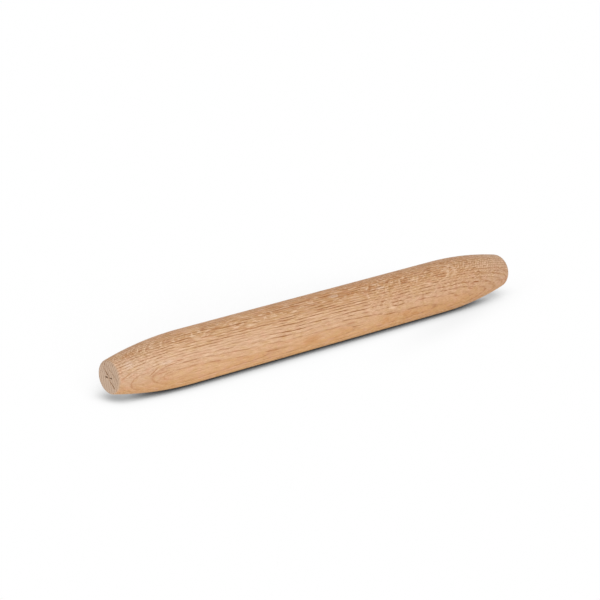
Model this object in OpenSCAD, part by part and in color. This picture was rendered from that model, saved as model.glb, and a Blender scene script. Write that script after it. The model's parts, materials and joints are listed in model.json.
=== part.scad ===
// A french rolling pin: one piece of oak, turned between the two centres of a lathe.
// It lies along X on the plane z = 0, with its middle over the origin.
// The end that the lathe drove faces -X and keeps the mark of the drive spur.

/* [Pin] */
// Overall length
pin_l = 480; // [440:1:520]
// Diameter of the straight barrel
barrel_d = 50; // [44:0.5:60]
// Length of the straight barrel, between the two tapers
barrel_l = 310; // [220:1:360]
// Diameter that a taper has come down to at the end, before its edge is rounded
end_d = 30; // [26:0.5:38]

/* [Edges] */
// Radius of the rounded edge at the driven end
drive_edge_r = 2.5; // [1:0.1:5]
// Radius of the rounded edge at the tail end
tail_edge_r = 6.5; // [1:0.1:8]

/* [Lathe marks] */
// Width across the two slits that the drive spur left
spur_w = 9.8; // [8:0.1:14]
// Whole wood between the two slits
spur_gap = 2.4; // [1:0.1:4]
// Width of a slit where it meets the face
slit_w = 1.1; // [0.6:0.1:2]
// Depth of a slit
slit_depth = 2; // [1:0.1:4]
// Diameter of the tail centre's dimple where it meets the face
dimple_d = 4; // [2:0.1:7]
// Depth of the dimple
dimple_depth = 2; // [1:0.1:4]

/* [Hidden] */

half_l = pin_l / 2;
barrel_r = barrel_d / 2;

// Each taper follows one arc that leaves the barrel without a corner
taper_l = (pin_l - barrel_l) / 2;
taper_drop = (barrel_d - end_d) / 2;
taper_r = (taper_l * taper_l + taper_drop * taper_drop) / (2 * taper_drop);
taper_centre = [barrel_r - taper_r, barrel_l / 2];

slit_l = (spur_w - spur_gap) / 2;

// How far each cutting shape stands out of the face that it cuts
cut_over = 1;

// Where the turned surface begins and ends, in degrees round from the underside towards +Y.
// Its seam then stays off the line that the pin lies on.
seam_turn = 45;

oak = [0.86, 0.69, 0.52];
taper_fn = 960;
edge_fn = 96;
turn_fn = 144;
dimple_fn = 48;

// The outline from the barrel's edge to an end, with the radius across and the length upward.
// The round touches the taper's arc from inside and the end face from below.
module end_outline(edge_r) {
    edge_y = half_l - edge_r;
    edge_rise = edge_y - taper_centre.y;
    edge_x = taper_centre.x + sqrt(pow(taper_r - edge_r, 2) - pow(edge_rise, 2));
    lean = atan2(edge_rise, edge_x - taper_centre.x);
    past_touch = [edge_x + 2 * edge_r * cos(lean), edge_y + 2 * edge_r * sin(lean)];

    intersection() {
        translate(taper_centre) circle(r = taper_r, $fn = taper_fn);
        polygon([
            [0, barrel_l / 2],
            [barrel_d, barrel_l / 2],
            [barrel_d, past_touch.y],
            past_touch,
            [edge_x, edge_y],
            [edge_x, half_l],
            [0, half_l]
        ]);
    }
    intersection() {
        translate([edge_x, edge_y]) circle(r = edge_r, $fn = edge_fn);
        polygon([
            [edge_x, edge_y],
            past_touch,
            [past_touch.x, half_l + edge_r],
            [edge_x, half_l + edge_r]
        ]);
    }
}

module outline() {
    translate([0, -barrel_l / 2]) square([barrel_r, barrel_l]);
    end_outline(tail_edge_r);
    mirror([0, 1]) end_outline(drive_edge_r);
}

// One slit of the spur's mark: a wedge with its edge inside the wood
module slit_cut() {
    mouth = slit_w / 2 * (slit_depth + cut_over) / slit_depth;
    rotate([90, 0, 0])
        linear_extrude(height = slit_l, center = true)
            polygon([[-cut_over, -mouth], [slit_depth, 0], [-cut_over, mouth]]);
}

module spur_mark() {
    for (side = [-1, 1])
        translate([-half_l, side * (spur_gap + slit_l) / 2, 0]) slit_cut();
}

module dimple_cut() {
    mouth_d = dimple_d * (dimple_depth + cut_over) / dimple_depth;
    translate([half_l - dimple_depth, 0, 0])
        rotate([0, 90, 0])
            cylinder(h = dimple_depth + cut_over, d1 = 0, d2 = mouth_d, $fn = dimple_fn);
}

module pin() {
    color(oak)
        translate([0, 0, barrel_r])
            difference() {
                rotate([0, 90, 0]) rotate([0, 0, seam_turn]) rotate_extrude($fn = turn_fn) outline();
                spur_mark();
                dimple_cut();
            }
}

pin();
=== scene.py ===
import json
import math

import bmesh
import bpy
from mathutils import Matrix, Vector, noise


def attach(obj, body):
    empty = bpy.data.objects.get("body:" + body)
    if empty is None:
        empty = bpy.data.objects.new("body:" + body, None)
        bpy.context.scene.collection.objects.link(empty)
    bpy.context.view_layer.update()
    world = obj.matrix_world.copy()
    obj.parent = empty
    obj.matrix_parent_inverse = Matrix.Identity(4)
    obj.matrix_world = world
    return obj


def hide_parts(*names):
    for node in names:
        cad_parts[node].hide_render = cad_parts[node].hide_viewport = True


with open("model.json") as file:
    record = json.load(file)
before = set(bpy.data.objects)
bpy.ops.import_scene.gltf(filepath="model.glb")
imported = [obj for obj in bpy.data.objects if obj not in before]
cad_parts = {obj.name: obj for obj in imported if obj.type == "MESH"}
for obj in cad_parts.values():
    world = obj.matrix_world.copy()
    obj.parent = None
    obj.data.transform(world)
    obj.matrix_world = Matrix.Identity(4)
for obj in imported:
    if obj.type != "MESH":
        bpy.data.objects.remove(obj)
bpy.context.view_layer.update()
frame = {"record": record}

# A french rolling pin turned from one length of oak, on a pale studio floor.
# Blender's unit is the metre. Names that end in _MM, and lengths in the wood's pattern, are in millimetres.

MM = 0.001

# The pin's main sizes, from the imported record
MOUNTS = {mount["name"]: mount for mount in frame["record"]["mounts"]}
BARREL_R_MM = MOUNTS["barrel"]["dims"]["r_mm"]
BARREL_L_MM = MOUNTS["barrel"]["dims"]["length_mm"]
HALF_L_MM = MOUNTS["tail_end"]["pos_m"][0] / MM
AXIS_Z_MM = MOUNTS["barrel"]["pos_m"][2] / MM

# The shape of the ends
END_R_MM = 15
DRIVE_EDGE_R_MM = 2.5
TAIL_EDGE_R_MM = 6.5
DIMPLE_R_MM = 2
DIMPLE_DEPTH_MM = 2

# How finely the turned surface is divided
SEGMENTS = 384
BARREL_RINGS = 20
TAPER_RINGS = 26
EDGE_RINGS = 11
FACE_STEP_MM = 0.18
TAIL_FACE_STEP_MM = 0.7

# The marks in the driven end's face. Places are (toward -Y, up) from the face's middle.
# The drive spur pressed in two slits: from, to, height, half width and depth of each
SPUR_SLITS = (
    (-4.9, -1.0, -0.45, 0.72, 2.0),
    (1.2, 4.9, -0.15, 0.5, 1.1),
)
# The wood has checked from the middle outward: place, half width and depth along each check
CHECKS = (
    (
        (-7.4, 8.4, 0.18, 0.4),
        (-6.0, 6.7, 0.36, 0.9),
        (-4.2, 4.8, 0.46, 1.2),
        (-1.6, 2.6, 0.66, 1.7),
        (0.4, 1.0, 0.34, 0.7),
        (0.3, -1.4, 0.32, 0.6),
        (2.4, -3.4, 0.50, 1.1),
        (4.9, -5.4, 0.54, 1.3),
        (7.6, -7.8, 0.62, 1.5),
        (9.2, -9.4, 0.20, 0.4),
    ),
    (
        (-3.1, 10.1, 0.22, 0.3),
        (4.9, 5.3, 0.38, 0.65),
        (10.6, 0.7, 0.38, 0.65),
        (12.2, -0.7, 0.20, 0.3),
    ),
)
# Their edges are torn: how far they wander, how fast along a slit and a check, and which noise each follows
TORN_MM = 0.12
SLIT_TORN_RATE = 1.7
CHECK_TORN_RATE = 1.3
SLIT_SEED = 3.1
CHECK_SEED = 7.7


def arc_points(centre, radius, start, end, count):
    """Points (along the pin, out from its axis) of an arc, with angles from the outward direction."""
    angles = [start + (end - start) * step / count for step in range(count + 1)]
    return [(centre[0] + radius * math.sin(a), centre[1] + radius * math.cos(a)) for a in angles]


def end_outline(edge_r):
    """The outline from the barrel's edge to the rim of an end face, as (distance from the middle, radius)."""
    barrel_end = BARREL_L_MM / 2
    taper_l = HALF_L_MM - barrel_end
    taper_drop = BARREL_R_MM - END_R_MM
    taper_r = (taper_l**2 + taper_drop**2) / (2 * taper_drop)
    taper_centre = (barrel_end, BARREL_R_MM - taper_r)

    edge_along = HALF_L_MM - edge_r
    edge_rise = edge_along - barrel_end
    edge_out = taper_centre[1] + math.sqrt((taper_r - edge_r) ** 2 - edge_rise**2)
    lean = math.atan2(edge_rise, edge_out - taper_centre[1])

    taper = arc_points(taper_centre, taper_r, 0, lean, TAPER_RINGS)
    edge = arc_points((edge_along, edge_out), edge_r, lean, math.pi / 2, EDGE_RINGS)
    return taper + edge[1:]


DRIVE_FACE_R_MM = end_outline(DRIVE_EDGE_R_MM)[-1][1]


def face_radii(rim_r, step):
    """Radii of the rings that fill an end face, from just inside the rim to just outside the middle."""
    count = round(rim_r / step)
    return [rim_r * (count - ring) / count for ring in range(1, count)]


def dent_of_slit(across, up, slit):
    start, end, height, half_width, depth = slit
    if not start < across < end:
        return 0
    torn = TORN_MM * noise.noise(Vector((across * SLIT_TORN_RATE, height, SLIT_SEED)))
    return max(0, depth * (1 - abs(up - height - torn) / half_width))


def dent_of_check(across, up, check):
    deepest = 0
    torn = TORN_MM * noise.noise(Vector((across * CHECK_TORN_RATE, up * CHECK_TORN_RATE, CHECK_SEED)))
    for (a0, u0, w0, d0), (a1, u1, w1, d1) in zip(check, check[1:]):
        run = Vector((a1 - a0, u1 - u0))
        start = Vector((across - a0, up - u0))
        t = min(1, max(0, start.dot(run) / run.length_squared))
        away = abs((start - run * t).length + torn)
        half_width = w0 + (w1 - w0) * t
        depth = d0 + (d1 - d0) * t
        deepest = max(deepest, depth * (1 - away / half_width))
    return deepest


def driven_face_dent(across, up):
    """How deep the marks go into the driven end's face at a place on it."""
    slits = [dent_of_slit(across, up, slit) for slit in SPUR_SLITS]
    checks = [dent_of_check(across, up, check) for check in CHECKS]
    return max(slits + checks)


def pin_rings():
    """Rings (x, radius, dent) from the driven end's face to the tail end's; dent is a function or None."""
    drive = end_outline(DRIVE_EDGE_R_MM)
    tail = end_outline(TAIL_EDGE_R_MM)
    rings = [(-HALF_L_MM, r, driven_face_dent) for r in reversed(face_radii(drive[-1][1], FACE_STEP_MM))]
    rings += [(-along, r, None) for along, r in reversed(drive)]
    barrel = [-BARREL_L_MM / 2 + BARREL_L_MM * ring / BARREL_RINGS for ring in range(1, BARREL_RINGS)]
    rings += [(x, BARREL_R_MM, None) for x in barrel]
    rings += [(along, r, None) for along, r in tail]
    for r in face_radii(tail[-1][1], TAIL_FACE_STEP_MM):
        dimple = max(0, DIMPLE_DEPTH_MM * (1 - r / DIMPLE_R_MM))
        rings.append((HALF_L_MM - dimple, r, None))
    return rings


def ring_point(x, r, dent, turn):
    across = r * math.cos(turn)
    up = r * math.sin(turn)
    if dent:
        x += dent(across, up)
    return Vector((x, -across, up + AXIS_Z_MM)) * MM


def build_pin():
    """The pin as one closed turned surface, with the marks of the lathe and the checks in its end face."""
    mesh = bmesh.new()
    turns = [math.tau * segment / SEGMENTS for segment in range(SEGMENTS)]
    loops = [
        [mesh.verts.new(ring_point(x, r, dent, turn)) for turn in turns]
        for x, r, dent in pin_rings()
    ]
    for inner, outer in zip(loops, loops[1:]):
        for here in range(SEGMENTS):
            after = (here + 1) % SEGMENTS
            mesh.faces.new((inner[here], inner[after], outer[after], outer[here]))
    drive_middle = mesh.verts.new(ring_point(-HALF_L_MM, 0, driven_face_dent, 0))
    tail_middle = mesh.verts.new(ring_point(HALF_L_MM - DIMPLE_DEPTH_MM, 0, None, 0))
    for here in range(SEGMENTS):
        after = (here + 1) % SEGMENTS
        mesh.faces.new((drive_middle, loops[0][after], loops[0][here]))
        mesh.faces.new((tail_middle, loops[-1][here], loops[-1][after]))
    for face in mesh.faces:
        face.smooth = True
    bmesh.ops.recalc_face_normals(mesh, faces=mesh.faces)
    data = bpy.data.meshes.new("turned_pin")
    mesh.to_mesh(data)
    mesh.free()
    piece = bpy.data.objects.new("turned_pin", data)
    bpy.context.scene.collection.objects.link(piece)
    return piece


class Wire:
    """A number on its way through a material. Sums and products of wires become Math nodes."""

    def __init__(self, graph, socket):
        self.graph = graph
        self.socket = socket

    def __add__(self, other):
        return self.graph.maths("ADD", self, other)

    def __radd__(self, other):
        return self.graph.maths("ADD", other, self)

    def __sub__(self, other):
        return self.graph.maths("SUBTRACT", self, other)

    def __rsub__(self, other):
        return self.graph.maths("SUBTRACT", other, self)

    def __mul__(self, other):
        return self.graph.maths("MULTIPLY", self, other)

    def __rmul__(self, other):
        return self.graph.maths("MULTIPLY", other, self)

    def __truediv__(self, other):
        return self.graph.maths("DIVIDE", self, other)

    def __abs__(self):
        return self.graph.maths("ABSOLUTE", self)


class Graph:
    """Adds nodes to a material or world and links them."""

    def __init__(self, owner):
        owner.use_nodes = True
        self.tree = owner.node_tree
        self.tree.nodes.clear()

    def node(self, kind, inputs=None, **settings):
        made = self.tree.nodes.new(kind)
        for name, value in settings.items():
            setattr(made, name, value)
        for name, value in (inputs or {}).items():
            self.feed(made.inputs[name], value)
        return made

    def feed(self, socket, value):
        if isinstance(value, Wire):
            value = value.socket
        if isinstance(value, bpy.types.NodeSocket):
            self.tree.links.new(value, socket)
        else:
            socket.default_value = value

    def maths(self, operation, *values):
        made = self.node("ShaderNodeMath", operation=operation)
        for socket, value in zip(made.inputs, values):
            self.feed(socket, value)
        return Wire(self, made.outputs[0])

    def vector(self, x, y, z):
        return self.node("ShaderNodeCombineXYZ", {"X": x, "Y": y, "Z": z}).outputs[0]

    def split(self, vector):
        made = self.node("ShaderNodeSeparateXYZ", {"Vector": vector})
        return [Wire(self, socket) for socket in made.outputs]

    def length(self, vector):
        return Wire(self, self.node("ShaderNodeVectorMath", {0: vector}, operation="LENGTH").outputs["Value"])

    def distance(self, first, second):
        ends = {0: first, 1: second}
        return Wire(self, self.node("ShaderNodeVectorMath", ends, operation="DISTANCE").outputs["Value"])

    def step(self, value, low, high):
        """0 where value is at or before low, 1 at or past high, and smooth between; low may be above high."""
        made = self.node("ShaderNodeMapRange", interpolation_type="SMOOTHSTEP")
        for name, given in (("Value", value), ("From Min", low), ("From Max", high)):
            self.feed(made.inputs[name], given)
        return Wire(self, made.outputs["Result"])

    def hill(self, *offsets):
        """1 where every offset is 0, falling off evenly to nearly 0 at a distance of 2."""
        return self.maths("EXPONENT", sum(offset * offset for offset in offsets) * -1)

    def noise_node(self, vector, detail):
        inputs = {"Vector": vector, "Scale": 1, "Detail": detail, "Roughness": 0.5}
        return self.node("ShaderNodeTexNoise", inputs)

    def cloud(self, vector, detail=2):
        """Smooth noise from 0 to 1 with features about one unit across."""
        return Wire(self, self.noise_node(vector, detail).outputs[0])

    def clouds(self, vector, detail=2):
        """Two such noises that have nothing to do with each other, each from -0.5 to 0.5."""
        parts = self.node("ShaderNodeSeparateColor", {"Color": self.noise_node(vector, detail).outputs[1]})
        return [Wire(self, socket) - 0.5 for socket in parts.outputs[:2]]

    def cells(self, vector):
        """Irregular cells about one unit across; away is the distance from the middle of the nearest one."""
        made = self.node("ShaderNodeTexVoronoi", {"Vector": vector, "Scale": 1, "Randomness": 1})
        away = Wire(self, made.outputs["Distance"])
        return away, made.outputs["Position"]

    def mix(self, factor, first, second):
        """A colour; first and second are colours or sockets that carry them."""
        made = self.node("ShaderNodeMix", data_type="RGBA", blend_type="MIX")
        for socket, value in ((made.inputs[0], factor), (made.inputs[6], first), (made.inputs[7], second)):
            self.feed(socket, value)
        return made.outputs[2]


def linear(red, green, blue):
    """An sRGB colour from 0 to 255 as Blender's linear one."""
    parts = [part / 255 for part in (red, green, blue)]
    return tuple(p / 12.92 if p < 0.04045 else ((p + 0.055) / 1.055) ** 2.4 for p in parts) + (1,)


OAK = linear(208, 162, 118)
LATE_WOOD = linear(202, 152, 105)
EARLY_WOOD = linear(211, 169, 129)
# Paler wood, also used for a painted sheen along the camera's side
PALE_WOOD_AND_SHEEN = linear(224, 192, 165)
GOLDEN_WOOD = linear(210, 157, 98)
# Painted light: a lighter lower edge, as if lit from the floor
LOW_PAINTED_LIGHT = linear(227, 172, 110)
DEEP_GOLD = linear(198, 142, 80)
# Painted light, for a lighter band high up over the driven end's half
HIGH_PAINTED_LIGHT = linear(226, 180, 132)
TOP_WOOD = linear(218, 156, 102)
PATCH_WOOD = linear(232, 206, 187)
# Painted shade, for the top and the tail's half
PAINTED_SHADE_WOOD = linear(202, 151, 105)
PORE = linear(144, 88, 40)
# The brown of the grain, also used for a painted shade along the top edge
BROWN_AND_EDGE_SHADE = linear(162, 102, 52)
RED_BROWN = linear(168, 108, 66)
ISLAND_BROWN = linear(190, 128, 70)
PINK_WOOD = linear(214, 163, 134)
KHAKI_WOOD = linear(203, 164, 110)
RAY_PALE = linear(236, 202, 168)
END_GRAIN = linear(194, 167, 144)
END_PALE = linear(204, 182, 164)
END_PORE = linear(136, 104, 80)
FACE_BROWN = linear(140, 96, 70)
# Painted shade deep in the marks of the driven face
CUT_SHADE = linear(72, 54, 40)

# In what follows, two numbers that are fed to step() are where something starts and where it is full.

# Where the pin was in the tree: the rings face this far round from level on the camera's side, and the
# tree's heart lies this far beyond the pin's axis in that direction
RING_FACE_TURN = math.radians(-17)
HEART_MM = 97
# The grain runs out of the pin's surface a little from end to end
RUN_OUT = 0.022

# The fibres sway and ripple: length and width of the waves, and how far they go toward the heart and across
SWAY_SIZE = (75, 90)
SWAY_TOWARD = 2.6
SWAY_ACROSS = 1.6
RIPPLE_SIZE = (14, 20)
RIPPLE_TOWARD = 0.5
RIPPLE_ACROSS = 0.3
# The stretch where the grain ripples most, and by how much more
CURL_PLACE = 105
CURL_LENGTH = 65
CURL_ACROSS = 0.45
# Where the grain swells sideways round something that grew in the tree: place, length and height
SWELLS = (
    (-104, 11, 0.25),
    (-56, 15, 0.40),
    (-10, 12, 0.25),
    (36, 24, 0.35),
)
# The grain swirls over a bud that never grew: place along the pin and toward the heart, length, width, height
SWIRL_PLACE = 119
SWIRL_TOWARD = 8.5
SWIRL_LENGTH = 30
SWIRL_WIDTH = 7
SWIRL_HEIGHT = 3.5
SWIRL_ABOVE = (0, 12)
# From here on the curl of the grain chops the fibres short, and by how much more
SHORT_FROM = 45
SHORTER = 2.0

# The width of one year's ring near the camera's side, and how it grows outward
RING_MM = 2.05
RING_GROWTH = 0.02
RING_START_MM = 72.3
# The rings wander: width and length of the waves, and by how many years
WANDER_SIZE = (10, 110)
WANDER_YEARS = 0.9
# Over a ring's age, from 0 to 1: its band of pores, the line along its edge, and its late wood
PORES_END = (0.42, 0.14)
LINE_STARTS = (0.0, 0.02)
LINE_ENDS = (0.22, 0.02)
LATE_STARTS = (0.35, 0.95)
# In some years and places the line stands out more, and a noise picks them: how far apart it takes two years,
# the length of its waves along the pin, its seed, and how it cuts in. Then the line's least and added depth
YEARS_APART = 3.7
YEAR_LENGTH = 150
YEAR_SEED = 0.4
STRONG_YEAR = (0.35, 0.62)
WEAK_LINE = 0.35
STRONG_LINE = 0.8

# What runs along the fibres, each by its width and length
CROWD_SIZE = (1.6, 22)
VESSEL_SIZE = (0.46, 26)
FINE_VESSEL_SIZE = (0.21, 9)
STREAK_SIZE = (0.55, 10)
BAND_SIZE = (1.5, 17)
# Where vessels crowd together, and how far out from its middle a vessel is open
CROWDED = (0.40, 0.64)
VESSEL_OPEN = (0.45, 0.24)
CROWD_WIDENS = 0.22
FINE_VESSEL_OPEN = (0.42, 0.25)

# A ray lies somewhere in each cell of this thickness, depth and length
RAY_CELL = (0.54, 22, 13)
# Half its own thickness and length
RAY_HALF_THICK = 0.09
RAY_HALF_LENGTH = 6
# How much of the fibres' shortening the rays share, and how far they lean
RAY_SHORTER = 0.35
RAY_LEAN = 0.13
# They wave and break up; on the tapers they are straighter and longer
RAY_WAVE_SIZE = (5, 6, 3)
RAY_WAVE = 0.7
RAY_BREAK_SIZE = (2.2, 6)
RAY_BREAK_APART = 7
RAY_WHOLE = (0.38, 0.56)
RAY_EDGE = (0.04, -0.02)
RAY_THINNEST = (0.0, 0.03)
ON_TAPER = (150, 200)
TAPER_STRAIGHTER = 0.4
TAPER_LONGER = 6
# How squarely the surface has to cut the rings before the rays show as pale flecks
QUARTERED = (0.72, 0.97)

# The end grain shows where the surface tilts toward an end: on the driven end up to its sharp edge, and on
# the tail end over its round. Its border is ragged
RAGGED_SIZE = (1, 1.5)
RAGGED_TILT = 0.16
DRIVEN_TILT = (0.20, 1.0)
TAIL_TILT = (0.15, 0.95)
RIM_STARTS = (0.50, 0.92)
RIM_ENDS = (1.0, 0.95)
# On the sides that face the heart and the bark the grain lies flat and shows less
LIES_FLAT = (0.85, 0.99)
FLAT_HIDES = 0.55

# The marks that stand out on the camera's side, in families of one size: half length, half width and slant of
# the family, then the place of each mark: along the pin, and degrees up round it from level with the axis.
# Rays that lie flat in the surface are pale
PALE_FLECKS = (
    (3.4, 0.7, 58, ((-207, 66.5), (-155.5, 65.5), (91, 50), (93.5, 60), (106.5, 54), (112.5, 49), (72, 47))),
    (3.6, 0.75, 36, ((-212.5, 73), (-72.5, 59.5), (53.5, 64), (109.5, 55), (154, 50), (207, 42))),
    (3.2, 0.85, 20, ((-147, 67.5), (-105.5, 66), (-117, 68), (84.5, 62), (129, 65), (180, 50))),
    (
        3.6, 0.9, 0,
        ((-39, 56), (68.5, 55), (77.5, 72), (153, 60), (-108, 54), (-138, 65), (99, 65), (-91, 76)),
    ),
    (4.6, 1.3, -6, ((73, 6), (-153, 53))),
    (7.5, 0.5, -4, ((31, 50.5), (33, 44), (-48, 35.5))),
    (9.5, 0.55, -16, ((126, 34),)),
)
# Small dark marks beside them
DARK_FLECKS = (
    (3.2, 0.65, 50, ((-204.5, 67), (57.5, 65.5), (18.5, 65))),
    (3.6, 0.9, 16, ((-210, 70), (-140.5, 73), (-138, 62), (-105, 59), (80, 66.5), (102, 63))),
    (6.0, 0.85, 0, ((-33, 68), (133, 71), (96, 53), (21, -3), (-129, 65), (50, 57))),
    (6.5, 0.85, -10, ((-11, 43), (143, 44), (-96, 44), (-57, 41))),
)
# Islands of darker wood, and patches of paler wood
ISLANDS = (
    (8.5, 4.0, 0, ((-222, 72),)),
    (12.0, 3.0, -6, ((30, 60.5),)),
    (5.8, 1.6, -5, ((-126, 64), (-98, 71), (-66, 69), (60, 60))),
    (8.0, 1.6, -14, ((-99, 45), (104, -24))),
    (5.0, 3.6, 0, ((92, -17), (67, -20))),
    (11.0, 5.0, 0, ((-26, -18),)),
)
PALE_PATCHES = (
    (4.2, 5.4, 0, ((-228, 43),)),
    (8.0, 1.5, 0, ((-194, 22),)),
    (5.2, 2.2, -4, ((13, 66.5), (67, 55.5))),
)
# Long thin lines of the grain on the tapers
DARK_LINES = (
    (6.6, 0.55, 34, ((-233, 11.5), (-207, 7))),
    (7.2, 0.45, 6, ((-198, 1.5), (-189, 14.5))),
    (17.0, 0.45, -9.5, ((200, 37.5), (192, 29))),
    (9.5, 0.45, -20, ((227, 23.5), (214, 19.5))),
    (4.0, 0.6, -16, ((169.5, 16.5), (186, 11), (193, 13), (201, 6), (180.5, 8), (176, 0), (157, -6.5))),
)
# The edge of a mark, over the distance from its middle in half sizes
MARK_EDGE = (1.35, 0.5)
# The marks' outlines are shaky: length and width of the shakes, and how far they go along the pin and up it
SHAKE_SIZE = (2.2, 1.6)
SHAKE = (3.0, 1.8)
# A mark longer than this many times its width is drawn with a steadier hand, so that it stays in one piece
THIN_MARK = 6
STEADY_SHAKE = (1.2, 0.5)

# Ring lines that show as arcs where the taper cuts them: place of the middle as above, half length and half
# height of each. Where the half length is negative, the arc closes toward the tail
ARCS = (
    (-215.5, -16, 12.7, 10.9),
    (-186, -8, 22, 9.5),
    (-180, -10, 17, 5.0),
    (196, -22, -18, 8.4),
    (210, -21, -17, 8.4),
    (216, -24, -18, 8.0),
)
# Pale bands that turn round the bud in the same way
PALE_ARCS = (
    (127, 51, -27, 8.6),
    (132, 54, -31, 10.4),
)
# Half the width of an arc's line, in half sizes, and how it fades where the arc opens
ARC_HALF_WIDTH = 0.11
ARC_CLOSED = (0.0, -0.5)

# Leaning stripes in the curled grain near the tail: how far apart along the pin, how much they lean, and
# where they begin and end along it. How high up the surface they begin and end is given for one place along
# the pin, and it sinks toward the tail
STRIPE_MM = 3.5
STRIPE_LEAN = 0.75
STRIPES_BEGIN = (160, 172)
STRIPES_END = (232, 222)
STRIPES_LOW = (16, 19)
STRIPES_HIGH = (31, 25)
STRIPES_PLACE = 200
STRIPES_SINK = 0.17


class Oak:
    """The oak of the pin, worked out through and through, so that every cut shows the grain that it would."""

    def __init__(self, material):
        self.graph = Graph(material)
        self.find_place()
        self.find_fibres()
        self.grow_rings()
        self.open_pores()
        self.place_rays()
        self.find_ends()
        self.lay_surface()

    def find_place(self):
        graph = self.graph
        place = graph.node("ShaderNodeTexCoord")
        in_mm = graph.node("ShaderNodeVectorMath", {0: place.outputs["Object"], 3: 1 / MM}, operation="SCALE")
        self.x, self.y, above_floor = graph.split(in_mm.outputs[0])
        self.z = above_floor - AXIS_Z_MM
        self.from_middle = abs(self.x)
        self.radius = graph.maths("SQRT", self.y * self.y + self.z * self.z)
        self.face_x = graph.split(place.outputs["Normal"])[0]

    def in_block(self, size):
        """The place in the block of wood, measured in features of this length along the pin and width."""
        length, width = size
        return self.graph.vector(self.x / length, self.y / width, self.z / width)

    def in_fibres(self, size):
        """The place among the fibres, measured in features of this width and length."""
        width, length = size
        return self.graph.vector(self.toward / width, self.across / width, self.along / length)

    def find_fibres(self):
        """toward and across name one fibre all along the pin: toward the heart, and at right angles to it."""
        graph = self.graph
        toward = self.y * -math.cos(RING_FACE_TURN) + self.z * math.sin(RING_FACE_TURN)
        across = self.y * math.sin(RING_FACE_TURN) + self.z * math.cos(RING_FACE_TURN)
        off_square = abs(toward) / graph.maths("MAXIMUM", self.radius, 1)
        self.flat = graph.step(off_square, *LIES_FLAT)
        sway_toward, sway_across = graph.clouds(self.in_block(SWAY_SIZE))
        ripple_toward, ripple_across = graph.clouds(self.in_block(RIPPLE_SIZE), detail=1)
        curl = graph.hill((self.x - CURL_PLACE) / CURL_LENGTH) * CURL_ACROSS + RIPPLE_ACROSS
        swirl = graph.hill((self.x - SWIRL_PLACE) / SWIRL_LENGTH, (toward - SWIRL_TOWARD) / SWIRL_WIDTH)
        swell = swirl * graph.step(across, *SWIRL_ABOVE) * SWIRL_HEIGHT
        for place, length, height in SWELLS:
            swell = swell + graph.hill((self.x - place) / length) * height
        self.toward = toward - self.x * RUN_OUT + sway_toward * SWAY_TOWARD + ripple_toward * RIPPLE_TOWARD
        self.across = across + swell + sway_across * SWAY_ACROSS + ripple_across * curl
        self.along = self.x + graph.maths("MAXIMUM", self.x - SHORT_FROM, 0) * SHORTER

    def grow_rings(self):
        graph = self.graph
        from_heart = HEART_MM - self.toward
        self.ring_r = graph.maths("SQRT", from_heart * from_heart + self.across * self.across)
        self.round_heart = graph.maths("ARCTAN2", self.across, from_heart) * HEART_MM
        width, length = WANDER_SIZE
        wander = graph.vector(self.toward / width, self.across / width, self.x / length)
        uneven = graph.cloud(wander, detail=1)
        out = (self.ring_r - RING_START_MM) * (RING_GROWTH / RING_MM) + 1
        years = graph.maths("LOGARITHM", out, math.e) / RING_GROWTH + (uneven - 0.5) * WANDER_YEARS
        age = graph.maths("FRACT", years)
        this_year = graph.vector((years - age) * YEARS_APART, self.x / YEAR_LENGTH, YEAR_SEED)
        look = graph.cloud(this_year, detail=0)
        self.pore_band = graph.step(age, *PORES_END)
        self.late = graph.step(age, *LATE_STARTS)
        self.ring_line = graph.step(age, *LINE_ENDS) * graph.step(age, *LINE_STARTS)
        self.ring_line = self.ring_line * (graph.step(look, *STRONG_YEAR) * STRONG_LINE + WEAK_LINE)

    def open_pores(self):
        """Vessels run along the fibres. Big ones crowd the start of a ring, and fine ones fill the rest."""
        graph = self.graph
        self.crowd = graph.step(graph.cloud(self.in_fibres(CROWD_SIZE)), *CROWDED)
        away, _ = graph.cells(self.in_fibres(VESSEL_SIZE))
        self.vessels = graph.step(away - self.crowd * CROWD_WIDENS, *VESSEL_OPEN) * self.pore_band
        away, _ = graph.cells(self.in_fibres(FINE_VESSEL_SIZE))
        self.fine_vessels = graph.step(away, *FINE_VESSEL_OPEN) * (1 - self.pore_band)
        self.streaks = graph.cloud(self.in_fibres(STREAK_SIZE), detail=1)
        self.bands = graph.cloud(self.in_fibres(BAND_SIZE))

    def place_rays(self):
        """Rays are thin plates that stand out from the heart like pages, each some centimetres long."""
        graph = self.graph
        taper = graph.step(self.from_middle, *ON_TAPER)
        along, out, around = RAY_WAVE_SIZE
        waves = graph.vector(self.x / along, self.ring_r / out, self.round_heart / around)
        wave = graph.clouds(waves)[0] * (RAY_WAVE - taper * TAPER_STRAIGHTER)
        page = self.round_heart - self.toward * RAY_LEAN + wave
        place = self.x + (self.along - self.x) * RAY_SHORTER
        thick, deep, long = RAY_CELL
        _, position = graph.cells(graph.vector(page / thick, self.ring_r / deep, place / long))
        middle = graph.split(position)
        away = abs(page - middle[0] * thick)
        beyond = (place - middle[2] * long) / (taper * TAPER_LONGER + RAY_HALF_LENGTH)
        out, along = RAY_BREAK_SIZE
        breaks = graph.vector(self.ring_r / out, self.x / along, middle[0] * RAY_BREAK_APART)
        whole = graph.step(graph.cloud(breaks, detail=1), *RAY_WHOLE)
        half = graph.maths("MAXIMUM", 1 - beyond * beyond, 0.0) * RAY_HALF_THICK * whole
        self.ray = graph.step(away - half, *RAY_EDGE) * graph.step(half, *RAY_THINNEST)
        square = abs(self.across) * HEART_MM / (self.ring_r * graph.maths("MAXIMUM", self.radius, 1))
        self.quarter = graph.step(square, *QUARTERED)

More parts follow.
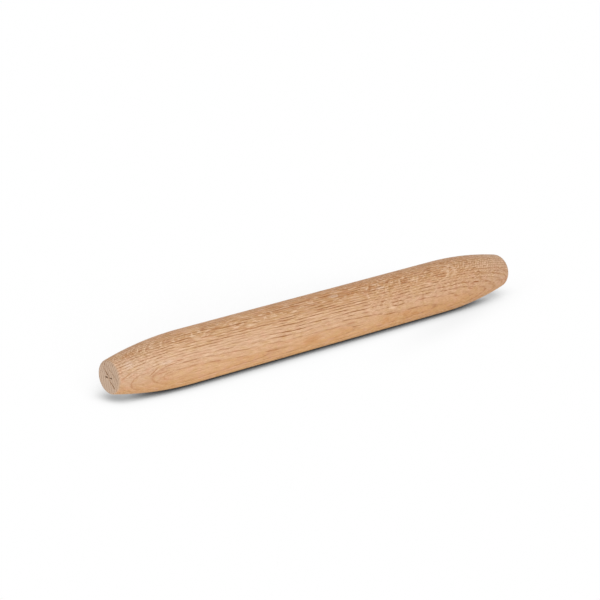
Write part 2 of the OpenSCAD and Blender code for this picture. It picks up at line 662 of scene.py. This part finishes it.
    def find_ends(self):
        """end is 1 where the end grain shows, and rim is 1 on the driven end's edge."""
        graph = self.graph
        ragged = graph.cloud(self.in_block(RAGGED_SIZE)) - 0.5
        tilt = abs(self.face_x) + ragged * RAGGED_TILT
        driven = graph.step(tilt, *DRIVEN_TILT)
        tail = graph.step(tilt, *TAIL_TILT)
        at_tail = graph.maths("GREATER_THAN", self.x, 0)
        self.end = driven + (tail - driven) * at_tail
        self.rim = graph.step(tilt, *RIM_STARTS) * graph.step(tilt, *RIM_ENDS) * (1 - at_tail)

    def lay_surface(self):
        """Where a point is on the unrolled surface: along the pin, and up round it as on the barrel."""
        graph = self.graph
        shake_along, shake_up = graph.clouds(self.in_block(SHAKE_SIZE))
        up = graph.maths("ARCTAN2", self.z, self.y * -1) * BARREL_R_MM
        self.unrolled = graph.vector(self.x + shake_along * SHAKE[0], up + shake_up * SHAKE[1], 0)
        self.steady = graph.vector(self.x + shake_along * STEADY_SHAKE[0], up + shake_up * STEADY_SHAKE[1], 0)

    def fade(self, depth, zones):
        """depth times each zone's share, which is 1 where it is full and what it leaves before its start."""
        for coordinate, start, full, left in zones:
            share = self.graph.step(getattr(self, coordinate), start, full)
            if left:
                share = share * (1 - left) + left
            depth = share * depth
        return depth

    def marks(self, families):
        """1 inside any of the marks, fading to 0 round them."""
        graph = self.graph
        nearest = MARK_EDGE[0]
        for half_length, half_width, slant, places in families:
            slant = math.radians(slant)
            inputs = {
                "Vector": self.steady if half_length > THIN_MARK * half_width else self.unrolled,
                "Rotation": (0, 0, slant),
                "Scale": (half_length, half_width, 1),
            }
            seen = graph.node("ShaderNodeMapping", inputs, vector_type="TEXTURE").outputs[0]
            for along, turn in places:
                up = math.radians(turn) * BARREL_R_MM
                middle_along = (along * math.cos(slant) + up * math.sin(slant)) / half_length
                middle_across = (up * math.cos(slant) - along * math.sin(slant)) / half_width
                away = graph.distance(seen, (middle_along, middle_across, 0))
                nearest = graph.maths("MINIMUM", nearest, away)
        return graph.step(nearest, *MARK_EDGE)

    def arcs(self, places):
        """1 on the line of any of the arcs."""
        graph = self.graph
        drawn = 0
        for along, turn, half_length, half_height in places:
            inputs = {
                "Vector": self.unrolled,
                "Location": (along, math.radians(turn) * BARREL_R_MM, 0),
                "Scale": (half_length, half_height, 1),
            }
            seen = graph.node("ShaderNodeMapping", inputs, vector_type="TEXTURE").outputs[0]
            line = graph.step(abs(graph.length(seen) - 1), ARC_HALF_WIDTH, 0.0)
            part = graph.step(graph.split(seen)[0], *ARC_CLOSED)
            drawn = graph.maths("MAXIMUM", drawn, line * part)
        return drawn

    def curl_stripes(self):
        """1 on a pale stripe of the curled grain near the tail and 0 on a dark one, and where they show."""
        graph = self.graph
        along, up, _ = graph.split(self.steady)
        stripe = (along - up * STRIPE_LEAN) / STRIPE_MM
        above_line = up + (along - STRIPES_PLACE) * STRIPES_SINK
        shown = graph.step(along, *STRIPES_BEGIN) * graph.step(along, *STRIPES_END)
        shown = shown * graph.step(above_line, *STRIPES_LOW) * graph.step(above_line, *STRIPES_HIGH)
        return graph.maths("SINE", stripe * math.tau) * 0.5 + 0.5, shown


# A depth says how much of a colour is mixed in, from 0 for none to 1 for nothing else.

# The tone of the wood comes in patches, tints and mottles: length and width of each, how its noise cuts in,
# and its depth
PATCH_SIZE = (60, 22)
PATCH_SHOWS = (0.3, 0.7)
PATCH_DEPTH = 0.7
TINT_SIZE = (9, 6)
PINK_SHOWS = (0.50, 0.72)
KHAKI_SHOWS = (0.50, 0.28)
TINT_DEPTH = 0.45
MOTTLE_SIZE = (5, 5)
MOTTLE_SHOWS = (0.50, 0.75)
MOTTLE_ZONES = (("x", 20, 90, 0),)
MOTTLE_DEPTH = 0.25

# A streak of paler wood, with a painted sheen in it, runs along the pin: its place toward and across, its
# width, and its depth. More depth is added toward the driven end and toward the tail, where the streak also
# lies higher
PALE_STREAK_AND_SHEEN = (21, 13)
PALE_WIDTH = 9.5
PALE_DEPTH = 0.45
PALE_DRIVEN = (-20, -150)
PALE_DRIVEN_DEPTH = 0.2
PALE_TAIL = (50, 170)
PALE_TAIL_DEPTH = 0.36
PALE_TAIL_RISE = 2
# A narrower one, also paler wood with a painted sheen, shows on the tail's taper
TAIL_STREAK = 13
TAIL_STREAK_WIDTH = 6
TAIL_STREAK_ZONES = (("x", 165, 200, 0),)
TAIL_STREAK_DEPTH = 0.18

# The side away from the camera starts where toward falls to the first number, and is full at the second
BACK = (-9, -19)


def less_behind(left):
    """A zone that leaves this share on the side away from the camera."""
    return ("toward", BACK[1], BACK[0], left)


# Slow changes of tone over the pin, some of them painted light and shade, mixed in one after another: the
# colour, then one or more depths that add up, each with its zones. A zone is a coordinate, where along it the
# colour starts and where it is full, and the share that is left before its start
TONES = (
    (GOLDEN_WOOD, (0.75, ("across", 6, -12, 0), ("x", -90, 0, 0.5333))),
    # Painted light from the floor: the lower edge on the camera's side lighter, most in the middle
    (LOW_PAINTED_LIGHT, (1.0, ("across", -7, -15, 0), ("from_middle", 238, 165, 0.4))),
    # Painted shade: the top darker, more so toward the tail, and half as much on the side away from the
    # camera
    (PAINTED_SHADE_WOOD, (0.70, ("toward", 16, -2, 0), ("x", -70, 70, 0.3714), less_behind(0.5))),
    (
        TOP_WOOD,
        (0.55, ("toward", 8, -6, 0), ("x", 150, -30, 0.2727), ("x", -110, -50, 0.6), less_behind(0.5)),
    ),
    (PALE_WOOD_AND_SHEEN, (0.2, ("toward", *BACK, 0))),
    # Painted shade: darker toward the tail, where less light falls
    (PAINTED_SHADE_WOOD, (0.45, ("x", 20, 230, 0))),
    # Painted light: a lighter band high up on the pin, over the driven end's half
    (
        HIGH_PAINTED_LIGHT,
        (0.3, ("toward", 12, 4, 0), ("toward", -8, -2, 0), ("x", -60, -90, 0), ("x", -180, -150, 0)),
    ),
    (
        DEEP_GOLD,
        (0.25, ("across", 4, -8, 0), ("x", 20, 120, 0)),
        (0.15, ("across", 4, -8, 0), ("x", -165, -200, 0)),
        (0.2, ("toward", 6, -4, 0), ("x", -165, -200, 0)),
    ),
    # Painted shade: the top edge darker
    (BROWN_AND_EDGE_SHADE, (0.12, ("toward", -3, -8, 0), ("across", 10, 16, 0))),
    (END_GRAIN, (0.48, ("from_middle", 165, 238, 0), ("across", -10, 2, 0.125))),
)
PALE_PATCH_DEPTH = 0.5
ISLAND_DEPTH = 0.42

# Bands of brown along the fibres, faint everywhere and deeper in these zones
BAND_SHOWS = (0.48, 0.70)
BAND_DEPTH = 0.12
BAND_MORE = 0.24
BAND_ZONES = (("toward", 14, 0, 0), ("x", -100, -30, 0.5833), less_behind(0.3))
# Dark and pale streaks along the fibres. They are deeper in the band of pores, and above a line along the pin
DARK_STREAK = (0.50, 0.76)
DARK_STREAK_DEPTH = 0.25
DARK_STREAK_IN_PORES = 0.45
DARK_STREAK_ABOVE = 0.1
DARK_STREAK_ABOVE_MIDDLE = 0.15
PALE_STREAKS = (0.48, 0.28)
PALE_STREAKS_DEPTH = 0.6
PALE_STREAKS_ABOVE = 0.3
ABOVE_LINE = (22, 14)
IN_MIDDLE = (90, 50)
# All streaks and vessels are fainter behind
FIGURE_BEHIND = 0.7

# The edge of each ring, deeper where vessels crowd. It is left out where it lies flat at the driven end
RING_DEPTH = 0.15
RING_CROWD_DEPTH = 0.6
AT_DRIVEN_END = (-170, -200)
ARC_DEPTH = 0.42
DARK_LINE_DEPTH = 0.65
PALE_STRIPE_DEPTH = 0.3
DARK_STRIPE_DEPTH = 0.14
# The band of pores where the rings are cut squarely
PORE_BAND_DEPTH = 0.15
PORE_BAND_CROWD_DEPTH = 0.3

# Rays are brown lines where they are cut across, and pale flecks where they lie in the surface
RAY_LINE_DEPTH = 0.5
RAY_FLECK_DEPTH = 0.5
RAY_HIDDEN_BY_PORES = 0.6
DARK_FLECK_DEPTH = 0.6
PALE_FLECK_DEPTH = 0.5
PALE_ARC_DEPTH = 0.4

# Vessels are fainter on the driven end's half, more so low on the camera's side, and on the tail's taper
CALM_DRIVEN = (-50, -110)
CALM_DRIVEN_DEPTH = 0.2
CALM_LOW = (16, 22)
CALM_LOW_DEPTH = 0.3
CALM_TAIL = (180, 215)
CALM_TAIL_DEPTH = 0.45
VESSEL_UNDER_RAY = 0.8
FINE_VESSEL_DEPTH = 0.35

# The driven end's face is paler below its long check. How deep its rays and pores and its rim's brown are
BELOW_CHECK = (4, -6)
BELOW_CHECK_DEPTH = 0.3
END_RAY_DEPTH = 0.4
END_BAND_DEPTH = 0.25
END_VESSEL_DEPTH = 0.8
END_FINE_VESSEL_DEPTH = 0.3
RIM_DEPTH = 0.14
# A brown spot in it: its place, as for the marks cut in that face, its radius and the radius of its core
FACE_SPOT = (-5.2, 11.0)
FACE_SPOT_R = 1.6
FACE_SPOT_CORE_R = 0.3
FACE_SPOT_DEPTH = 0.6
# The marks in it are painted with shade that darkens as they go in from the face, as far as they reach, and
# inside its rim
CUT_DARKENS = (0.04, 0.9)
CUT_REACHES = (3.0, 2.2)
CUT_INSIDE_RIM = 0.6
CUT_SHADE_DEPTH = 0.85

# How rough the wood is, with what pores and end grain add and rays take away
ROUGHNESS = 0.5
PORE_ROUGHER = 0.25
END_ROUGHER = 0.2
RAY_SMOOTHER = 0.12
SPECULAR = 0.15
# The relief: its height, and how much of it each feature takes
RELIEF_MM = 0.12
RELIEF_STRENGTH = 0.6
FINE_VESSEL_RELIEF = 0.3
RAY_RELIEF = 0.15
LATE_RELIEF = 0.08


def tone_of_side(oak):
    """The tone of the rings, with all that changes slowly over the pin, and the light and shade painted on
    it.
    """
    graph = oak.graph
    wood = graph.mix(oak.late, EARLY_WOOD, LATE_WOOD)
    patch = graph.cloud(oak.in_block(PATCH_SIZE), detail=3)
    wood = graph.mix(graph.step(patch, *PATCH_SHOWS) * PATCH_DEPTH, wood, OAK)

    # Painted sheen, together with paler wood, in a streak along the camera's side
    beside = (oak.toward - PALE_STREAK_AND_SHEEN[0]) / PALE_WIDTH
    at_tail = graph.step(oak.x, *PALE_TAIL)
    above = (oak.across - PALE_STREAK_AND_SHEEN[1] - at_tail * PALE_TAIL_RISE) / PALE_WIDTH
    depth = graph.step(oak.x, *PALE_DRIVEN) * PALE_DRIVEN_DEPTH + at_tail * PALE_TAIL_DEPTH + PALE_DEPTH
    wood = graph.mix(graph.hill(beside, above) * depth, wood, PALE_WOOD_AND_SHEEN)
    for colour, *parts in TONES:
        wood = graph.mix(sum(oak.fade(depth, zones) for depth, *zones in parts), wood, colour)
    # The same painted sheen and paler wood on the tail's taper
    streak = graph.hill((oak.across - TAIL_STREAK) / TAIL_STREAK_WIDTH)
    wood = graph.mix(streak * oak.fade(TAIL_STREAK_DEPTH, TAIL_STREAK_ZONES), wood, PALE_WOOD_AND_SHEEN)

    tint = graph.cloud(oak.in_block(TINT_SIZE))
    wood = graph.mix(graph.step(tint, *PINK_SHOWS) * TINT_DEPTH, wood, PINK_WOOD)
    wood = graph.mix(graph.step(tint, *KHAKI_SHOWS) * TINT_DEPTH, wood, KHAKI_WOOD)
    wood = graph.mix(oak.marks(PALE_PATCHES) * PALE_PATCH_DEPTH, wood, PATCH_WOOD)
    wood = graph.mix(oak.marks(ISLANDS) * ISLAND_DEPTH, wood, ISLAND_BROWN)
    mottle = graph.step(graph.cloud(oak.in_block(MOTTLE_SIZE)), *MOTTLE_SHOWS)
    return graph.mix(mottle * oak.fade(MOTTLE_DEPTH, MOTTLE_ZONES), wood, BROWN_AND_EDGE_SHADE)


def add_grain(oak, wood):
    """The side's streaks, ring lines, rays and pores."""
    graph = oak.graph
    figure = oak.fade(1 - oak.flat * FLAT_HIDES, (less_behind(FIGURE_BEHIND),))
    band = graph.step(oak.bands, *BAND_SHOWS) * (BAND_DEPTH + oak.fade(BAND_MORE, BAND_ZONES))
    wood = graph.mix(band, wood, BROWN_AND_EDGE_SHADE)
    above = graph.step(oak.toward, *ABOVE_LINE)
    more = above * (graph.step(oak.from_middle, *IN_MIDDLE) * DARK_STREAK_ABOVE_MIDDLE + DARK_STREAK_ABOVE)
    depth = DARK_STREAK_DEPTH + oak.pore_band * DARK_STREAK_IN_PORES + more
    wood = graph.mix(graph.step(oak.streaks, *DARK_STREAK) * depth * figure, wood, BROWN_AND_EDGE_SHADE)
    depth = above * PALE_STREAKS_ABOVE + PALE_STREAKS_DEPTH
    wood = graph.mix(graph.step(oak.streaks, *PALE_STREAKS) * depth * figure, wood, RAY_PALE)

    lies_flat = oak.flat * graph.step(oak.x, *AT_DRIVEN_END)
    rings = oak.ring_line * (RING_DEPTH + oak.crowd * RING_CROWD_DEPTH) * (1 - lies_flat)
    wood = graph.mix(graph.maths("MAXIMUM", rings, oak.arcs(ARCS) * ARC_DEPTH), wood, BROWN_AND_EDGE_SHADE)
    wood = graph.mix(oak.marks(DARK_LINES) * DARK_LINE_DEPTH, wood, BROWN_AND_EDGE_SHADE)
    stripe, shown = oak.curl_stripes()
    wood = graph.mix(stripe * shown * PALE_STRIPE_DEPTH, wood, RAY_PALE)
    wood = graph.mix((1 - stripe) * shown * DARK_STRIPE_DEPTH, wood, BROWN_AND_EDGE_SHADE)
    depth = PORE_BAND_DEPTH + oak.crowd * PORE_BAND_CROWD_DEPTH
    wood = graph.mix(oak.pore_band * oak.quarter * depth, wood, BROWN_AND_EDGE_SHADE)

    wood = graph.mix(oak.ray * (1 - oak.quarter) * RAY_LINE_DEPTH, wood, BROWN_AND_EDGE_SHADE)
    ray_fleck = oak.ray * oak.quarter * (1 - oak.pore_band * RAY_HIDDEN_BY_PORES)
    wood = graph.mix(ray_fleck * RAY_FLECK_DEPTH, wood, RAY_PALE)
    wood = graph.mix(oak.marks(DARK_FLECKS) * DARK_FLECK_DEPTH, wood, RED_BROWN)
    wood = graph.mix(oak.arcs(PALE_ARCS) * PALE_ARC_DEPTH, wood, RAY_PALE)
    pale_fleck = oak.marks(PALE_FLECKS)
    wood = graph.mix(pale_fleck * PALE_FLECK_DEPTH, wood, RAY_PALE)

    fleck = graph.maths("MAXIMUM", ray_fleck, pale_fleck)
    low = graph.step(oak.toward, *CALM_LOW) * CALM_LOW_DEPTH + CALM_DRIVEN_DEPTH
    calm = graph.step(oak.x, *CALM_DRIVEN) * low + graph.step(oak.x, *CALM_TAIL) * CALM_TAIL_DEPTH
    shown = (1 - fleck * VESSEL_UNDER_RAY) * figure * (1 - calm)
    wood = graph.mix(oak.vessels * shown, wood, PORE)
    return graph.mix(oak.fine_vessels * (1 - fleck) * FINE_VESSEL_DEPTH, wood, PORE)


def tone_of_ends(oak):
    """The same rings, rays and pores cut across."""
    graph = oak.graph
    below_check = graph.step(oak.z - oak.y, *BELOW_CHECK)
    end = graph.mix(below_check * BELOW_CHECK_DEPTH, END_GRAIN, END_PALE)
    end = graph.mix(oak.ray * END_RAY_DEPTH, end, RAY_PALE)
    end = graph.mix(oak.pore_band * END_BAND_DEPTH, end, END_PORE)
    end = graph.mix(oak.vessels * END_VESSEL_DEPTH, end, END_PORE)
    return graph.mix(oak.fine_vessels * END_FINE_VESSEL_DEPTH, end, END_PORE)


def darken_driven_face(oak, colour):
    """The brown spot in the driven end's face, and the painted shade deep in the marks cut into it."""
    graph = oak.graph
    spot_place = (-HALF_L_MM, -FACE_SPOT[0], FACE_SPOT[1])
    off_spot = graph.distance(graph.vector(oak.x, oak.y, oak.z), spot_place)
    spot = graph.step(off_spot, FACE_SPOT_R, FACE_SPOT_CORE_R)
    colour = graph.mix(spot * FACE_SPOT_DEPTH, colour, FACE_BROWN)
    # Painted shade in the marks, darker as they go in from the face
    depth = oak.x + HALF_L_MM
    cut = graph.step(depth, *CUT_DARKENS) * graph.step(depth, *CUT_REACHES)
    cut = cut * graph.step(oak.radius, DRIVE_FACE_R_MM, DRIVE_FACE_R_MM - CUT_INSIDE_RIM)
    return graph.mix(cut * CUT_SHADE_DEPTH, colour, CUT_SHADE)


def paint_oak(material):
    oak = Oak(material)
    graph = oak.graph
    side = add_grain(oak, tone_of_side(oak))
    colour = graph.mix(oak.end, side, tone_of_ends(oak))
    colour = graph.mix(oak.rim * RIM_DEPTH, colour, END_PORE)
    colour = darken_driven_face(oak, colour)

    fleck = oak.ray * oak.quarter
    rough = ROUGHNESS + oak.vessels * PORE_ROUGHER + oak.end * END_ROUGHER - fleck * RAY_SMOOTHER
    height = fleck * RAY_RELIEF + oak.late * LATE_RELIEF - oak.vessels - oak.fine_vessels * FINE_VESSEL_RELIEF
    relief = {"Strength": RELIEF_STRENGTH, "Distance": RELIEF_MM * MM, "Height": height}
    normal = graph.node("ShaderNodeBump", relief).outputs[0]
    shader = graph.node(
        "ShaderNodeBsdfPrincipled",
        {"Base Color": colour, "Roughness": rough, "Normal": normal, "Specular IOR Level": SPECULAR},
    )
    output = graph.node("ShaderNodeOutputMaterial")
    graph.feed(output.inputs["Surface"], shader.outputs[0])


# Light: a plain bright room, and one big soft lamp low on the camera's side. Lengths are in metres
ROOM_LOW = 0.835
ROOM_HIGH = 0.795
LAMP_AZIMUTH = 30
LAMP_RISE = 9
LAMP_DISTANCE = 1.4
LAMP_WIDTH = 1.3
LAMP_HEIGHT = 0.44
LAMP_WATTS = 6.2
# Half the floor's width, and how white its own light is for all but the camera and reflections
FLOOR_HALF = 8
FLOOR_BOUNCE = 0.97
# The floor's shadow: from how far off things still throw it, with how many samples they are looked for, how
# far the sky has to open before the floor turns white, and up to which opening the contact is darker
SHADOW_REACH = 2.0
SHADOW_SAMPLES = 16
SHADOW_OPENING = 0.141
SHADOW_CONTACT = 0.264
# A softer shadow, thrown by light from the left in front: where it comes from, and how dark and wide it is
SIDE_LIGHT_AZIMUTH = 35
SIDE_LIGHT_RISE = 30
SIDE_SHADOW = 0.52
SIDE_CLEAR = 0.868
SIDE_DARK = 0.49
# The shadow spreads a little further at the ends, and some light comes in under the tail end, where the depth
# is negative: depth, place (x, y), half length, half width and turn
SOFT_SHADES = (
    (0.336, -227, 12.8, 10.3, 14.1, 0),
    (0.074, 162, -25.8, 90, 18.4, 18),
    (-0.28, 219, 4, 14, 9.6, -20),
)

# The camera that took the photograph, from the fit of the pin's outline, and how far it sees
LENS_PX = 2621.2
FRAME_PX = 600
SENSOR_MM = 36
CAMERA_AZIMUTH = 41.39
CAMERA_ELEVATION = 17.70
CAMERA_DISTANCE = 2.4135
PIN_IN_FRAME_PX = (316.0, 320.2)
SEEN_TO = 50


def background_rays(graph):
    """1 for the rays that see the background itself: from the camera, in a reflection or through glass."""
    path = graph.node("ShaderNodeLightPath")
    seen = graph.maths("MAXIMUM", path.outputs["Is Camera Ray"], path.outputs["Is Glossy Ray"])
    return graph.maths("MAXIMUM", seen, path.outputs["Is Transmission Ray"])


def light_room():
    world = bpy.data.worlds.new("room")
    bpy.context.scene.world = world
    graph = Graph(world)
    up = graph.split(graph.node("ShaderNodeTexCoord").outputs["Generated"])[2]
    level = ROOM_LOW + (ROOM_HIGH - ROOM_LOW) * graph.step(up, 0, 1)
    seen = background_rays(graph)
    strength = seen + (1 - seen) * level
    room = graph.node("ShaderNodeBackground", {"Color": (1, 1, 1, 1), "Strength": strength})
    output = graph.node("ShaderNodeOutputWorld")
    graph.feed(output.inputs["Surface"], room.outputs[0])


def direction(azimuth, elevation):
    """From the pin's middle toward a place seen under these angles; azimuth 0 looks along +Y."""
    a = math.radians(azimuth)
    e = math.radians(elevation)
    return Vector((-math.sin(a) * math.cos(e), -math.cos(a) * math.cos(e), math.sin(e)))


def light_pin():
    lamp = bpy.data.lights.new("soft_lamp", "AREA")
    lamp.shape = "RECTANGLE"
    lamp.size = LAMP_WIDTH
    lamp.size_y = LAMP_HEIGHT
    lamp.energy = LAMP_WATTS
    thing = bpy.data.objects.new("soft_lamp", lamp)
    thing.visible_camera = False
    bpy.context.scene.collection.objects.link(thing)
    off_pin = direction(LAMP_AZIMUTH, LAMP_RISE) * LAMP_DISTANCE
    thing.location = Vector((0, 0, AXIS_Z_MM * MM)) + off_pin
    thing.rotation_euler = (-off_pin).to_track_quat("-Z", "Y").to_euler()


def sky_opening(graph, toward):
    """How much of the sky round a direction is open over the floor, from 0 to 1."""
    inputs = {"Distance": SHADOW_REACH, "Normal": graph.vector(*toward)}
    return Wire(graph, graph.node("ShaderNodeAmbientOcclusion", inputs, samples=SHADOW_SAMPLES).outputs["AO"])


def paint_floor(material):
    """White where nothing stands between the floor and the light, and dark where the pin does."""
    graph = Graph(material)
    above = sky_opening(graph, (0, 0, 1))
    level = 1 - graph.maths("EXPONENT", above / SHADOW_OPENING * -1)
    level = level * graph.step(above, 0, SHADOW_CONTACT)
    beside = sky_opening(graph, direction(SIDE_LIGHT_AZIMUTH, SIDE_LIGHT_RISE))
    level = level * (1 - graph.step(beside, SIDE_CLEAR, SIDE_DARK) * SIDE_SHADOW)
    place = graph.node("ShaderNodeTexCoord").outputs["Object"]
    for shade, along, beyond, half_length, half_width, turn in SOFT_SHADES:
        inputs = {
            "Vector": place,
            "Location": (along * MM, beyond * MM, 0),
            "Rotation": (0, 0, math.radians(turn)),
            "Scale": (half_length * MM, half_width * MM, 1),
        }
        seen = graph.node("ShaderNodeMapping", inputs, vector_type="TEXTURE").outputs[0]
        level = level * (1 - graph.hill(graph.length(seen)) * shade)
    level = graph.maths("MINIMUM", level, 1.0)
    seen = background_rays(graph)
    strength = level * (seen + (1 - seen) * FLOOR_BOUNCE)
    floor = graph.node("ShaderNodeEmission", {"Color": (1, 1, 1, 1), "Strength": strength})
    output = graph.node("ShaderNodeOutputMaterial")
    graph.feed(output.inputs["Surface"], floor.outputs[0])


def lay_floor():
    data = bpy.data.meshes.new("floor")
    corners = [(x * FLOOR_HALF, y * FLOOR_HALF, 0) for x, y in ((-1, -1), (1, -1), (1, 1), (-1, 1))]
    data.from_pydata(corners, [], [(0, 1, 2, 3)])
    floor = bpy.data.objects.new("floor", data)
    bpy.context.scene.collection.objects.link(floor)
    material = bpy.data.materials.new("floor")
    paint_floor(material)
    data.materials.append(material)


def place_camera():
    """Stands the camera where the photograph was taken from, with the pin at its place in the frame."""
    data = bpy.data.cameras.new("camera")
    data.sensor_width = SENSOR_MM
    data.lens = LENS_PX * SENSOR_MM / FRAME_PX
    data.clip_end = SEEN_TO
    camera = bpy.data.objects.new("camera", data)
    bpy.context.scene.collection.objects.link(camera)
    bpy.context.scene.camera = camera

    back = direction(CAMERA_AZIMUTH, CAMERA_ELEVATION)
    right = Vector((0, 0, 1)).cross(back).normalized()
    up = back.cross(right)
    off_right = (PIN_IN_FRAME_PX[0] - FRAME_PX / 2) / LENS_PX
    off_down = (PIN_IN_FRAME_PX[1] - FRAME_PX / 2) / LENS_PX
    to_pin = right * off_right - up * off_down - back
    place = Vector((0, 0, AXIS_Z_MM * MM)) - to_pin * CAMERA_DISTANCE
    turn = Matrix((right, up, back)).transposed().to_4x4()
    camera.matrix_world = Matrix.Translation(place) @ turn


place_camera()
light_room()
light_pin()
lay_floor()

pin = build_pin()
oak_material = bpy.data.materials.new("oak")
paint_oak(oak_material)
pin.data.materials.append(oak_material)
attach(pin, "root")
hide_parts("pin")

scene = bpy.context.scene
scene.view_settings.view_transform = "Standard"
